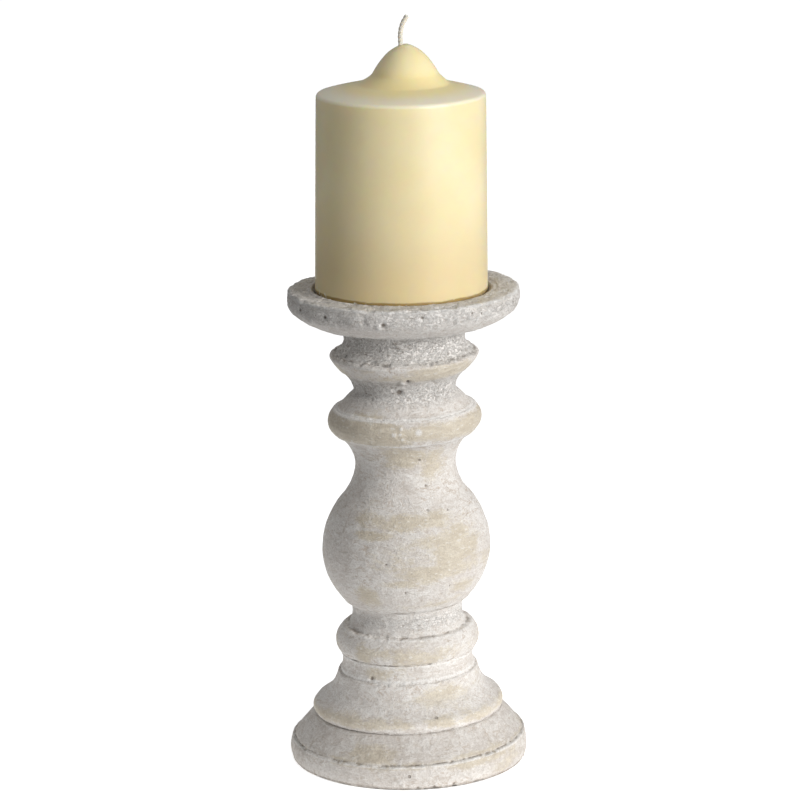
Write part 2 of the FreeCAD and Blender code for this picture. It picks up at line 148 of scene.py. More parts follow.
def felt_finish():
    """Matted fibres, darker where they clump."""
    felt, tree, shader, place = new_finish("pressed_felt")
    fibre = noise(tree, place, 900.0, 8.0, 0.75)
    clump = noise(tree, place, 160.0, 3.0)
    shade = calc(tree, "ADD", times(tree, fibre, 0.7), times(tree, clump, 0.3))
    tree.links.new(mixed(tree, ramp(tree, shade, 0.35, 0.65), (0.1, 0.085, 0.07), (0.24, 0.21, 0.18)),
                   shader.inputs["Base Color"])
    tree.links.new(bumped(tree, fibre, 0.3 * MM), shader.inputs["Normal"])
    settle(shader, Roughness=0.95, Sheen_Weight=0.4)
    return felt


def dress(node, finish):
    """Gives a CAD piece its finish."""
    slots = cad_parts[node].data.materials
    for index in range(len(slots)):
        slots[index] = finish


dress("felt_pad", felt_finish())

# ---------------------------------------------------------------- foot
# The foot is the widest turning: a rounded rim and a slope that rises to the pedestal. Like the
# other three turned sections it is softwood under a thick coat of gesso, tinted buff, then brushed
# with chalky limewash and rubbed back by hand where the edges would wear.

AROUND_WIDE = 440                     # faces round the foot and the dish
FINE_STEP, COARSE_STEP = 0.3, 0.62    # mm between rows, beside a cut line and elsewhere
COAT = 0.32                           # mm by which the gesso rounds an edge
CRUMBLE_DEPTH, CLOT_HEIGHT = 1.1, 0.2     # mm lost where an edge crumbles, raised where the coat curdles
CUT_DEPTH, RIDGE_HEIGHT = 0.22, 0.45      # mm at the lines between sections, and at the ridges beside them
LEAN = [(0, 0.0), (4, 0.0), (10, 1.4), (20, 1.4), (38, 2.3), (47, 1.4), (58, 1.5), (68, 1.9),
        (92, 1.6), (126, 1.4), (145, 1.6), (172, 1.2), (184, 0.6), (200, 0.6)]
# (height, degrees): no ring of the turning is quite level
EFFECTS = ("lean", "coat", "crumble", "curdle", "cut", "ridge")    # what each row of an outline says


def arc(start, middle, end, step=0.15):
    """Points on the arc through three points, from just after the start to the end."""
    a, b, c = (complex(*p) for p in (start, middle, end))
    w = (c - a) / (b - a)
    if abs(w.imag) < 1e-6:
        count = max(2, int(abs(c - a) / step))
        line = a + (c - a) * np.arange(1, count + 1) / count
        return list(zip(line.real, line.imag))
    centre = a + (b - a) * (abs(w) ** 2 - w) / (w.conjugate() - w)
    radius = abs(a - centre)
    first, last = np.angle(a - centre), np.angle(c - centre)
    through = (np.angle(b - centre) - first) % (2 * np.pi)
    sweep = (last - first) % (2 * np.pi)
    if through > sweep:
        sweep -= 2 * np.pi
    count = max(2, int(abs(sweep) * radius / step))
    turn = first + sweep * np.arange(1, count + 1) / count
    points = centre + radius * np.exp(1j * turn)
    return list(zip(points.real, points.imag))


def turned_outline(bottom, start_radius, strokes):
    """The outer line of a turning, in mm, from its lower edge up. A stroke is (height, radius half way,
    radius at its top), and one with no height is a step in or out."""
    here = (start_radius, bottom)
    line = [here]
    cuts = []
    for tall, half, top in strokes:
        end = (top, here[1] + tall)
        if tall == 0:
            line += arc(here, ((here[0] + end[0]) / 2, here[1]), end)
            cuts.append(here[1])
        else:
            line += arc(here, (half, here[1] + tall / 2), end)
        here = end
    return np.array(line), cuts


def coated(line, coat=COAT):
    """The line as the gesso leaves it, with each corner filled and rounded."""
    steps = np.linalg.norm(np.diff(line, axis=0), axis=1)
    along = np.concatenate([[0], np.cumsum(steps)])
    even = np.arange(0, along[-1], 0.1)
    points = np.stack([np.interp(even, along, line[:, i]) for i in (0, 1)], 1)
    reach = int(4 * coat / 0.1)
    weights = np.exp(-0.5 * (np.arange(-reach, reach + 1) * 0.1 / coat) ** 2)
    weights /= weights.sum()
    before = 2 * points[0] - points[reach:0:-1]
    after = 2 * points[-1] - points[-2:-reach - 2:-1]
    padded = np.concatenate([before, points, after])
    return np.stack([np.convolve(padded[:, i], weights, "valid") for i in (0, 1)], 1)


def rows_of(line, cuts):
    """The line's rows: closer together beside each cut, where the detail is."""
    middle = (line[1:] + line[:-1]) / 2
    steps = np.linalg.norm(np.diff(line, axis=0), axis=1)
    near = np.min([np.abs(middle[:, 1] - c) for c in cuts] + [np.full(len(middle), 99.0)], axis=0)
    spacing = np.interp(near, [1.0, 3.0], [FINE_STEP, COARSE_STEP])
    dense = np.concatenate([[0], np.cumsum(steps / spacing)])
    wanted = np.linspace(0, dense[-1], int(dense[-1]) + 1)
    return np.stack([np.interp(wanted, dense, line[:, i]) for i in (0, 1)], 1)


def new_tree(name, start, sizes, counts, result):
    """A tree with its named inputs: what it starts from, its sizes, its whole numbers and a finish."""
    tree = bpy.data.node_groups.new(name, "GeometryNodeTree")
    face = tree.interface
    for names, kind in (((start,), "Geometry"), (counts, "Int"), (sizes, "Float"), (("Finish",), "Material")):
        for each in names:
            face.new_socket(each, in_out="INPUT", socket_type="NodeSocket" + kind)
    face.new_socket(result, in_out="OUTPUT", socket_type="NodeSocketGeometry")
    return tree, add(tree, "NodeGroupInput").outputs


def named_value(tree, name):
    return add(tree, "GeometryNodeInputNamedAttribute", {"data_type": "FLOAT"}, Name=name).outputs[0]


def stored(tree, shape, name, value):
    return add(tree, "GeometryNodeStoreNamedAttribute", {"data_type": "FLOAT", "domain": "POINT"},
               Geometry=shape, Name=name, Value=value).outputs[0]


def pushed(tree, direction, amount):
    """A move by some amount along a direction."""
    push = add(tree, "ShaderNodeVectorMath", {"operation": "SCALE"}, Scale=amount)
    tree.links.new(direction, push.inputs[0])
    return push.outputs[0]


def moved(tree, shape, moves):
    """The shape, moved by the sum of all the moves."""
    total = moves[0]
    for move in moves[1:]:
        joined = tree.nodes.new("ShaderNodeVectorMath")
        tree.links.new(total, joined.inputs[0])
        tree.links.new(move, joined.inputs[1])
        total = joined.outputs[0]
    return add(tree, "GeometryNodeSetPosition", Geometry=shape, Offset=total).outputs[0]


def ended(tree, shape, finish, result):
    """The end of every tree: one smooth, plain mesh in its finish."""
    shape = add(tree, "GeometryNodeSetShadeSmooth", Geometry=shape).outputs[0]
    shape = add(tree, "GeometryNodeRealizeInstances", Geometry=shape).outputs[0]
    shape = add(tree, "GeometryNodeSetMaterial", Geometry=shape, Material=finish).outputs[0]
    add(tree, "NodeGroupOutput", **{result: shape})


def turning_tree():
    """Spins an outline round the upright axis and gives it the relief of a hand-laid gesso coat."""
    sizes = ("Out of round", "Lumps", "Brush marks", "Crumble", "Curdle", "Seed")
    tree, given = new_tree("turned_and_coated", "Outline", sizes, ("Around", "Rows"), "Section")
    around, rows, seed = given["Around"], given["Rows"], given["Seed"]

    # a flat grid of faces, wrapped round the axis: a column for each step round, a row for each corner
    grid = add(tree, "GeometryNodeMeshGrid", Size_X=1.0, Size_Y=1.0,
               Vertices_X=calc(tree, "ADD", around, 1), Vertices_Y=rows).outputs["Mesh"]
    flat = add(tree, "ShaderNodeSeparateXYZ",
               Vector=add(tree, "GeometryNodeInputPosition").outputs[0]).outputs
    turn = times(tree, calc(tree, "ADD", flat["X"], 0.5), 2 * math.pi)
    row = calc(tree, "ROUND", times(tree, calc(tree, "ADD", flat["Y"], 0.5), calc(tree, "SUBTRACT", rows, 1)))

    def from_outline(kind, value):
        return add(tree, "GeometryNodeSampleIndex", {"data_type": kind, "domain": "POINT"},
                   Geometry=given["Outline"], Value=value, Index=row).outputs[0]

    shape = grid
    for name in EFFECTS:
        shape = stored(tree, shape, name, from_outline("FLOAT", named_value(tree, name)))
    point = add(tree, "ShaderNodeSeparateXYZ", Vector=from_outline(
        "FLOAT_VECTOR", add(tree, "GeometryNodeInputPosition").outputs[0])).outputs
    spun = add(tree, "ShaderNodeCombineXYZ", X=times(tree, point["X"], calc(tree, "COSINE", turn)),
               Y=times(tree, point["X"], calc(tree, "SINE", turn)), Z=point["Z"]).outputs[0]
    shape = add(tree, "GeometryNodeSetPosition", Geometry=shape, Position=spun).outputs[0]
    shape = add(tree, "GeometryNodeMergeByDistance", Geometry=shape, Distance=0.02 * MM).outputs[0]

    place = add(tree, "GeometryNodeInputPosition").outputs[0]
    outward = add(tree, "GeometryNodeInputNormal").outputs[0]

    def centred(value, size):
        return times(tree, calc(tree, "SUBTRACT", value, 0.5), size)

    # the relief of the coat, one part on another
    lumps = centred(noise(tree, place, 110.0, 4.0, 0.55, seed, 0.4), given["Lumps"])
    brushed = centred(noise(tree, scale_vector(tree, place, (0.2, 0.2, 1.0)), 650.0, 3.0, 0.6, seed, 0.6),
                      given["Brush marks"])
    grit = noise(tree, place, 520.0, 3.0, 0.6, seed)
    lost = ramp(tree, noise(tree, place, 130.0, 5.0, 0.7, seed), 0.50, 0.58)
    crumbled = times(tree, calc(tree, "ADD", times(tree, lost, 0.8), times(tree, grit, 0.5)),
                     named_value(tree, "crumble"), times(tree, given["Crumble"], -1.0))
    clot = noise(tree, place, 280.0, 2.0, 0.5, seed, 1.6)
    clots = calc(tree, "SUBTRACT", strands(tree, clot, 0.07, 0.56), strands(tree, clot, 0.07, 0.44))
    curdled = times(tree, clots, named_value(tree, "curdle"), given["Curdle"])
    broken = ramp(tree, noise(tree, place, 140.0, 4.0, 0.65, seed), 0.36, 0.56)
    grooved = times(tree, named_value(tree, "cut"), broken, -CUT_DEPTH * MM)
    ridged = times(tree, named_value(tree, "ridge"), ramp(tree, grit, 0.3, 0.5), RIDGE_HEIGHT * MM)
    relief = lumps
    for part in (brushed, crumbled, curdled, grooved, ridged):
        relief = calc(tree, "ADD", relief, part)
    relief = times(tree, relief, named_value(tree, "coat"))
    shape = stored(tree, shape, "relief", calc(tree, "DIVIDE", relief, MM))

    # then the piece is drawn out of round, and its rings are tipped
    across = add(tree, "ShaderNodeSeparateXYZ", Vector=place).outputs["X"]
    swell = times(tree, centred(noise(tree, place, 16.0, 1.0, 0.5, seed), given["Out of round"]),
                  named_value(tree, "coat"))
    radial = add(tree, "ShaderNodeVectorMath", {"operation": "NORMALIZE"})
    tree.links.new(scale_vector(tree, place, (1.0, 1.0, 0.0)), radial.inputs[0])
    tipped = add(tree, "ShaderNodeCombineXYZ", Z=times(tree, across, named_value(tree, "lean"))).outputs[0]
    shape = moved(tree, shape, [pushed(tree, outward, relief), pushed(tree, radial.outputs[0], swell),
                                tipped])
    ended(tree, shape, given["Finish"], "Section")
    return tree


TURNING = turning_tree()


def grown(name, seed_mesh, tree, **inputs):
    """Runs a tree on a small mesh, and returns a piece that holds the plain result."""
    piece = bpy.data.objects.new(name, seed_mesh)
    bpy.context.scene.collection.objects.link(piece)
    modifier = piece.modifiers.new("grow", "NODES")
    modifier.node_group = tree
    sockets = {s.name: s.identifier for s in tree.interface.items_tree if s.in_out == "INPUT"}
    for key, value in inputs.items():
        modifier[sockets[key.replace("_", " ")]] = value
    graph = bpy.context.evaluated_depsgraph_get()
    result = bpy.data.meshes.new_from_object(piece.evaluated_get(graph), depsgraph=graph)
    piece.modifiers.clear()
    piece.data = result
    result.name = name
    return piece


def bell(values, centre, half_width):
    return np.exp(-0.5 * ((values - centre) / half_width) ** 2)


def banded(heights, bands):
    """How strong some effect is at each height, from bands (height, half its width, strength)."""
    strength = np.zeros(len(heights))
    for middle, half, most in bands:
        strength = np.maximum(strength, most * bell(heights, middle, half))
    return strength


def outline_mesh(name, corners, **effects):
    """The outline as a chain of points from axis to axis, each with the strength of every effect there."""
    mesh = bpy.data.meshes.new(name)
    mesh.from_pydata([(r * MM, 0.0, z * MM) for r, z in corners],
                     [(i, i + 1) for i in range(len(corners) - 1)], [])
    for effect in EFFECTS:
        values = np.asarray(effects.get(effect, np.zeros(len(corners))), np.float32)
        mesh.attributes.new(effect, "FLOAT", "POINT").data.foreach_set("value", values)
    return mesh


def turned_section(node, line, cuts, below, above, finish, around, seed, crumble=(), curdle=(), cut=(),
                   ridge=(), level=(), lumps=0.7, brush=0.3, round_off=1.1):
    """A turned and coated section that stands for a CAD node. Below and above are the corners of its
    hidden faces, from the axis to the outline and back to the axis."""
    rows = rows_of(coated(line), cuts)
    corners = np.concatenate([np.array(below, float).reshape(-1, 2), rows,
                              np.array(above, float).reshape(-1, 2)])
    shown = np.zeros(len(corners))
    shown[len(below):len(below) + len(rows)] = 1.0
    heights = corners[:, 1]
    lean = np.tan(np.radians(np.interp(heights, *zip(*LEAN))))
    for low, high, radius in level:
        lean[(heights >= low) & (heights <= high) & (corners[:, 0] <= radius)] = 0.0
    mesh = outline_mesh(node + "_outline", corners, lean=lean, coat=shown,
                        crumble=banded(heights, crumble), curdle=banded(heights, curdle),
                        cut=banded(heights, cut), ridge=banded(heights, ridge))
    piece = grown(node + "_turned", mesh, TURNING, Around=around, Rows=len(corners),
                  Out_of_round=round_off * MM, Lumps=lumps * MM, Brush_marks=brush * MM,
                  Crumble=CRUMBLE_DEPTH * MM, Curdle=CLOT_HEIGHT * MM, Seed=float(seed), Finish=finish)
    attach(piece, "holder")
    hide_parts(node)
    return piece


def vertices_of(mesh):
    """Where the vertices are, in mm."""
    places = np.zeros(len(mesh.vertices) * 3, np.float32)
    mesh.vertices.foreach_get("co", places)
    return places.reshape(-1, 3).astype(float) / MM


def put_vertices(mesh, places):
    mesh.vertices.foreach_set("co", (places * MM).astype(np.float32).ravel())
    mesh.update()


def hand_worked(piece, rubbed_bands=(), rubbed_patches=(), shade_bands=(), dents=()):
    """Wear laid on at listed places, and painted shade. Bands (height, half width, strength) run right round
    and patches (angle, height, half width, half height, strength) don't: they are rubbed back to the buff
    coat, or darkened as painted shade.
    Dents (angle, height, radius, depth) are pits, or blobs where the depth is below 0. Angles are
    degrees to the right of the front."""
    mesh = piece.data
    places = vertices_of(mesh)
    radii = np.hypot(places[:, 0], places[:, 1])
    angles = np.arctan2(places[:, 0], -places[:, 1])
    level = places[:, 2] - places[:, 0] * np.tan(np.radians(np.interp(places[:, 2], *zip(*LEAN))))

    def from_spot(angle, height):
        turn = (angles - math.radians(angle) + np.pi) % (2 * np.pi) - np.pi
        return turn * radii, level - height

    rubbed = banded(level, rubbed_bands)
    for angle, height, half_wide, half_tall, strength in rubbed_patches:
        wide, tall = from_spot(angle, height)
        spread = (wide / half_wide) ** 2 + (tall / half_tall) ** 2
        rubbed = np.maximum(rubbed, strength * np.exp(-0.5 * spread))
    normals = np.zeros(len(places) * 3, np.float32)
    mesh.vertex_normals.foreach_get("vector", normals)
    normals = normals.reshape(-1, 3).astype(float)
    pit = np.zeros(len(places))
    ridge = np.zeros(len(places), np.float32)
    mesh.attributes["ridge"].data.foreach_get("value", ridge)
    for angle, height, radius, depth in dents:
        wide, tall = from_spot(angle, height)
        hollow = np.exp(-((wide ** 2 + tall ** 2) / radius ** 2))
        places -= normals * (hollow * depth)[:, None]
        if depth > 0:
            pit = np.maximum(pit, hollow)
        else:
            ridge = np.maximum(ridge, hollow)
    for name, values in (("rubbed", rubbed), ("pit", pit), ("painted_shade", banded(level, shade_bands))):
        mesh.attributes.new(name, "FLOAT", "POINT").data.foreach_set("value", values.astype(np.float32))
    mesh.attributes["ridge"].data.foreach_set("value", ridge.astype(np.float32))
    put_vertices(mesh, places)


CHALK_AND_HIGHLIGHT = (0.88, 0.865, 0.84)           # limewash where it lies thick in brush strokes, and a painted highlight on raised relief
CUT_EDGE_HIGHLIGHT = (0.90, 0.885, 0.86)     # painted highlight in the same colour, beside a cut line
OCHRE_DUST = (0.47, 0.40, 0.33)


def limewash_finish():
    """Chalky limewash over gesso, with dark cracks in its curdled hollows. It thins to the buff coat where it
    is rubbed. The pits and pinholes are painted near black; painted shade darkens the lines between sections
    and the hollows of the relief, and painted highlights lighten the raised relief, the ridges and the edges
    beside the cuts, with painted fill light whitening the curdled hollows."""
    wash, tree, shader, place = new_finish("limewash_over_buff")
    rubbed, pit, painted_shade, relief, curdle, cut, ridge = (
        add(tree, "ShaderNodeAttribute", {"attribute_name": name}).outputs["Fac"]
        for name in ("rubbed", "pit", "painted_shade", "relief", "curdle", "cut", "ridge"))

    def run_round(flatness, *settings):
        """Noise drawn out round the piece."""
        return noise(tree, scale_vector(tree, place, (flatness, flatness, 1.0)), *settings)

    def laid(colour, *layers):
        """Layers laid on a colour in turn: the share of each, then its colour."""
        for share, tint in layers:
            colour = mixed(tree, share, colour, tint)
        return colour

    streaks = run_round(0.25, 520.0, 6.0, 0.7, 2.0, 0.3)
    patches = run_round(0.6, 62.0, 8.0, 0.66, 9.0, 0.3)
    strokes = run_round(0.5, 190.0, 4.0, 0.62, 4.0, 1.2)
    specks = run_round(0.45, 900.0, 3.0, 0.7, 12.0, 0.6)
    lines = run_round(0.2, 330.0, 3.0, 0.6, 7.0, 0.7)
    clouds = noise(tree, place, 60.0, 6.0, 0.65, 5.0, 0.5)
    grain = noise(tree, place, 1500.0, 3.0, 0.7, 1.0)
    mottle = noise(tree, place, 420.0, 5.0, 0.7, 3.0, 0.4)

    white = laid(
        mixed(tree, ramp(tree, clouds, 0.38, 0.62), (0.685, 0.645, 0.61), (0.79, 0.765, 0.735)),
        (ramp(tree, mottle, 0.47, 0.68, 0.0, 0.55), (0.86, 0.84, 0.815)),
        (ramp(tree, mottle, 0.47, 0.30, 0.0, 0.5), (0.53, 0.47, 0.415)),
        (times(tree, strands(tree, strokes, 0.035, 0.47), 0.55), CHALK_AND_HIGHLIGHT),
        (times(tree, strands(tree, strokes, 0.02, 0.55), ramp(tree, clouds, 0.42, 0.56), 0.75),
         (0.47, 0.375, 0.295)))
    buff = mixed(tree, ramp(tree, streaks, 0.35, 0.65), (0.58, 0.51, 0.395), (0.71, 0.645, 0.525))
    bare = calc(tree, "ADD", times(tree, rubbed, 0.42), patches)
    bare = calc(tree, "SUBTRACT", bare, times(tree, calc(tree, "SUBTRACT", specks, 0.5), 0.45))
    bare = ramp(tree, bare, 0.59, 0.74, 0.0, 0.9)

    # curdled coat: white curls and dark cracks between them, and the whole curdled hollow whitened as painted
    # fill light where the parts above shade it
    curls = noise(tree, place, 480.0, 2.0, 0.55, 8.0, 2.2)
    curled = ramp(tree, curdle, 0.1, 0.6)
    crack = times(tree, strands(tree, curls, 0.019, 0.475), curled)
    curl = times(tree, strands(tree, curls, 0.035, 0.54), curled)
    hair = times(tree, strands(tree, lines, 0.013, 0.5), ramp(tree, clouds, 0.60, 0.44))
    broken = ramp(tree, noise(tree, place, 190.0, 4.0, 0.65, 6.0), 0.47, 0.58)

    # pinholes, each with its own width, and only in a few cells
    pores = add(tree, "ShaderNodeTexVoronoi", {"feature": "F1"}, Vector=place, Scale=170.0).outputs
    chance = add(tree, "ShaderNodeSeparateColor", Color=pores["Color"]).outputs
    wide = ramp(tree, chance[1], 0.0, 1.0, 0.05, 0.13)
    pore = times(tree, ramp(tree, calc(tree, "SUBTRACT", pores["Distance"], wide), 0.03, -0.02),
                 ramp(tree, chance[0], 0.93, 0.94))
    dark = calc(tree, "MAXIMUM", ramp(tree, pit, 0.35, 0.85), times(tree, pore, 0.75))

    colour = laid(
        mixed(tree, bare, white, buff),
        # painted highlight: the raised relief of the coat is lightened
        (ramp(tree, relief, 0.08, 0.32, 0.0, 0.5), CHALK_AND_HIGHLIGHT),
        # painted shade: the sunken relief of the coat is darkened
        (ramp(tree, relief, -0.2, -0.7, 0.0, 0.4), (0.50, 0.45, 0.40)),
        # painted fill light: the curdled hollows, which the parts above them shade, are whitened
        (times(tree, curled, 0.9), (0.97, 0.95, 0.925)),
        (times(tree, curl, 0.8), (1.0, 0.99, 0.97)),
        (times(tree, crack, 0.8), (0.31, 0.26, 0.215)),
        (times(tree, hair, calc(tree, "MAXIMUM", curled, 0.4), 0.75), (0.33, 0.265, 0.205)),
        # partly white drips of limewash, partly a painted highlight: the raised ridges are whitened as if
        # catching the light
        (times(tree, ramp(tree, ridge, 0.2, 0.8), ramp(tree, mottle, 0.36, 0.50), 0.9), (0.88, 0.87, 0.85)),
        # painted highlight: a pale band beside each cut line
        (times(tree, ramp(tree, cut, 0.02, 0.25), ramp(tree, mottle, 0.42, 0.55), 0.6), CUT_EDGE_HIGHLIGHT),
        # painted shade: the cut lines between sections are darkened almost to black
        (times(tree, ramp(tree, cut, 0.3, 0.9), broken, 0.85), (0.17, 0.13, 0.095)),
        # the pits and pinholes are darkened almost to black
        (times(tree, dark, 0.85), (0.14, 0.11, 0.085)),
        (ramp(tree, grain, 0.36, 0.6, 0.40, 0.0), (0.45, 0.40, 0.35)),
        (ramp(tree, specks, 0.56, 0.68, 0.0, 0.45), OCHRE_DUST),
        (ramp(tree, specks, 0.44, 0.34, 0.0, 0.5), (0.91, 0.90, 0.88)),
        # painted shade: the foot darkens towards the table, most at its lower edge
        (times(tree, painted_shade, ramp(tree, mottle, 0.35, 0.6, 1.0, 0.6)), (0.22, 0.185, 0.15)))
    tree.links.new(colour, shader.inputs["Base Color"])
    tree.links.new(ramp(tree, bare, 0.0, 1.0, 0.88, 0.6), shader.inputs["Roughness"])
    settle(shader, Specular_IOR_Level=0.3)

    height = times(tree, grain, 0.22)
    for part, share in ((streaks, 0.5), (specks, -0.35), (mottle, 0.9),
                        (strands(tree, strokes, 0.06, 0.47), 0.12), (crack, -0.28), (curl, 0.38),
                        (times(tree, cut, broken), -0.6), (times(tree, hair, curled), -0.2), (pore, -0.9)):
        height = calc(tree, "ADD", height, times(tree, part, share))
    tree.links.new(bumped(tree, height, 0.6 * MM), shader.inputs["Normal"])
    return wash


LIMEWASH = limewash_finish()
FELT_GAP, BEARING_LEVEL = 0.4, 20.4   # mm: the gap round the felt, and the height of the foot's top face
foot_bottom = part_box("foot")[0].z / MM
recess_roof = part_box("felt_pad")[1].z / MM
recess_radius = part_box("felt_pad")[1].x / MM + FELT_GAP
foot_line, foot_cuts = turned_outline(foot_bottom, 48.9, [
    (9.6, 49.5, 48.3), (0, 0, 47.9), (10.3, 43.8, 39.2)])
foot = turned_section(
    "foot", foot_line, foot_cuts,
    below=[(0, recess_roof), (recess_radius, recess_roof), (recess_radius, foot_bottom)],
    above=[(0, BEARING_LEVEL)], finish=LIMEWASH, around=AROUND_WIDE, seed=11,
    crumble=[(0.8, 0.7, 0.35), (10.0, 0.6, 0.7)], cut=[(10.5, 0.2, 0.9)], ridge=[(9.8, 0.45, 1.0)])
hand_worked(foot, rubbed_bands=[(10.2, 1.4, 0.55)],
            # painted shade: bands that darken the foot towards the table
            shade_bands=[(0.9, 0.6, 0.9), (4, 5, 0.36), (12, 9, 0.32)],
            rubbed_patches=[(-18, 14, 10, 3.5, 0.7), (38, 10, 16, 2.0, 0.8), (62, 8, 9, 4, 0.5)],
            dents=[(4, 1.2, 0.8, 0.6), (12, 1.3, 0.7, 0.7), (22, 1.6, 0.9, 0.6), (-4, 4, 0.8, -0.4),
                   (-3, 2.5, 0.9, -0.5)])

# ---------------------------------------------------------------- foot screw and washer
# A pan-head steel screw goes up through the foot into the pedestal, with a plain washer under its
# head. Both are zinc plated, and out of sight above the felt.


def zinc_finish():
    zinc, tree, shader, place = new_finish("zinc_plate")
    spangle = noise(tree, place, 500.0, 4.0, 0.6)
    tree.links.new(mixed(tree, ramp(tree, spangle, 0.35, 0.7), (0.52, 0.53, 0.55), (0.68, 0.69, 0.70)),
                   shader.inputs["Base Color"])
    tree.links.new(ramp(tree, spangle, 0.3, 0.7, 0.28, 0.45), shader.inputs["Roughness"])
    tree.links.new(bumped(tree, spangle, 0.03 * MM, 0.5), shader.inputs["Normal"])
    settle(shader, Metallic=1.0)
    return zinc


ZINC = zinc_finish()
dress("foot_screw", ZINC)
dress("foot_washer", ZINC)

# ---------------------------------------------------------------- pedestal
# The pedestal is turned with a bold torus, a deep hollow, a narrow band between two cut lines, a
# second torus and a waist. The screw from below and a dowel from above hold it on the axis.

SCREW_SOCKET, SCREW_REACH = 2.1, 38.8        # mm: its radius, and the height of its end
STEM_SOCKET, STEM_DEPTH = 6.05, 22           # mm: radius and depth of the holes for the stem dowel
pedestal_bottom, pedestal_top = (corner.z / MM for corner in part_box("pedestal"))
pedestal_line, pedestal_cuts = turned_outline(pedestal_bottom, 38.4, [
    (5.6, 39.7, 38.0), (12.6, 31.3, 29.0), (0, 0, 28.0), (7.9, 27.0, 27.6), (0, 0, 27.0), (0, 0, 27.9),
    (11.3, 29.7, 25.7), (0, 0, 24.6), (9.9, 22.7, 23.6)])
pedestal = turned_section(
    "pedestal", pedestal_line, pedestal_cuts,
    below=[(0, SCREW_REACH), (SCREW_SOCKET, SCREW_REACH), (SCREW_SOCKET, pedestal_bottom)],
    above=[(STEM_SOCKET, pedestal_top), (STEM_SOCKET, pedestal_top - STEM_DEPTH),
           (0, pedestal_top - STEM_DEPTH)],
    finish=LIMEWASH, around=400, seed=23,
    crumble=[(38.6, 0.6, 0.5), (57.8, 0.6, 0.5), (20.8, 0.6, 0.4)], curdle=[(63, 3.5, 0.42), (30, 4, 0.25)],
    cut=[(38.7, 0.2, 0.5), (46.6, 0.2, 1.0), (57.9, 0.2, 0.7), (20.7, 0.2, 1.0)],
    ridge=[(39.4, 0.6, 0.7), (45.7, 0.5, 0.65), (58.6, 0.5, 0.4), (57.0, 0.5, 0.6)])
hand_worked(pedestal, rubbed_bands=[(24.0, 1.6, 0.55), (51.5, 3.0, 0.45)],
            rubbed_patches=[(0, 24.5, 30, 2.0, 0.6), (10, 51, 12, 3.5, 0.5), (-40, 51, 4, 4, 0.8),
                            (30, 33, 14, 3, 0.5), (-30, 42, 6, 2, 0.6)],
            dents=[(-33, 40.5, 1.0, 0.5)])

# ---------------------------------------------------------------- stem dowel
# A beech dowel with bevelled ends joins the pedestal to the baluster. It is cut from plain rod, and
# glued half into each.


def beech_finish():
    beech, tree, shader, place = new_finish("planed_beech")
    grain = noise(tree, scale_vector(tree, place, (1.0, 1.0, 0.06)), 700.0, 5.0, 0.6)
    fleck = noise(tree, scale_vector(tree, place, (1.0, 1.0, 0.25)), 1500.0, 2.0, 0.5, 4.0)
    colour = mixed(tree, ramp(tree, grain, 0.35, 0.65), (0.50, 0.33, 0.18), (0.67, 0.48, 0.29))
    colour = mixed(tree, ramp(tree, fleck, 0.62, 0.72, 0.0, 0.5), colour, (0.38, 0.23, 0.12))
    tree.links.new(colour, shader.inputs["Base Color"])
    tree.links.new(bumped(tree, grain, 0.06 * MM), shader.inputs["Normal"])
    settle(shader, Roughness=0.6)
    return beech


BEECH = beech_finish()
dress("stem_dowel", BEECH)

# ---------------------------------------------------------------- baluster
# The main stem is one long turning: a full bulb, a throat, a bead rubbed almost bare, a cove, a
# second bead and a collar under the dish. The limewash is curdled and cracked in its hollows.

DISH_SOCKET, DISH_SOCKET_DEPTH = 5.05, 20    # mm: the hole for the dish dowel, in the collar
BEAD_EDGE = 139.8                            # mm: where the throat meets the lower bead
baluster_bottom, baluster_top = (corner.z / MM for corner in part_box("baluster"))
baluster_line, baluster_cuts = turned_outline(baluster_bottom, 24.4, [
    (22.3, 32.4, 35.0), (21.9, 33.1, 27.1), (14.6, 22.4, 20.7), (13.3, 22.4, 28.4), (10.2, 31.6, 29.0),
    (0, 0, 28.0), (7.3, 24.6, 20.8), (7.6, 21.8, 24.6), (7.2, 28.6, 30.9),
    (1.9, 30.4, 28.8), (0, 0, 28.2), (10.2, 24.8, 27.6)])
baluster_cuts.append(BEAD_EDGE)
baluster = turned_section(
    "baluster", baluster_line, baluster_cuts,
    below=[(0, baluster_bottom + STEM_DEPTH), (STEM_SOCKET, baluster_bottom + STEM_DEPTH),
           (STEM_SOCKET, baluster_bottom)],
    above=[(DISH_SOCKET, baluster_top), (DISH_SOCKET, baluster_top - DISH_SOCKET_DEPTH),
           (0, baluster_top - DISH_SOCKET_DEPTH)],
    finish=LIMEWASH, around=344, seed=37,
    crumble=[(173.8, 0.9, 0.8), (164.9, 0.7, 0.5)], curdle=[(179, 4.0, 0.9), (160, 4.5, 0.6)],
    cut=[(68.2, 0.25, 0.9), (173.9, 0.22, 0.7), (176.5, 0.2, 0.35)],
    ridge=[(BEAD_EDGE, 0.4, 0.8), (150.3, 0.5, 1.0), (174.6, 0.6, 0.6), (165.2, 0.6, 0.4), (69.2, 0.5, 0.4)])
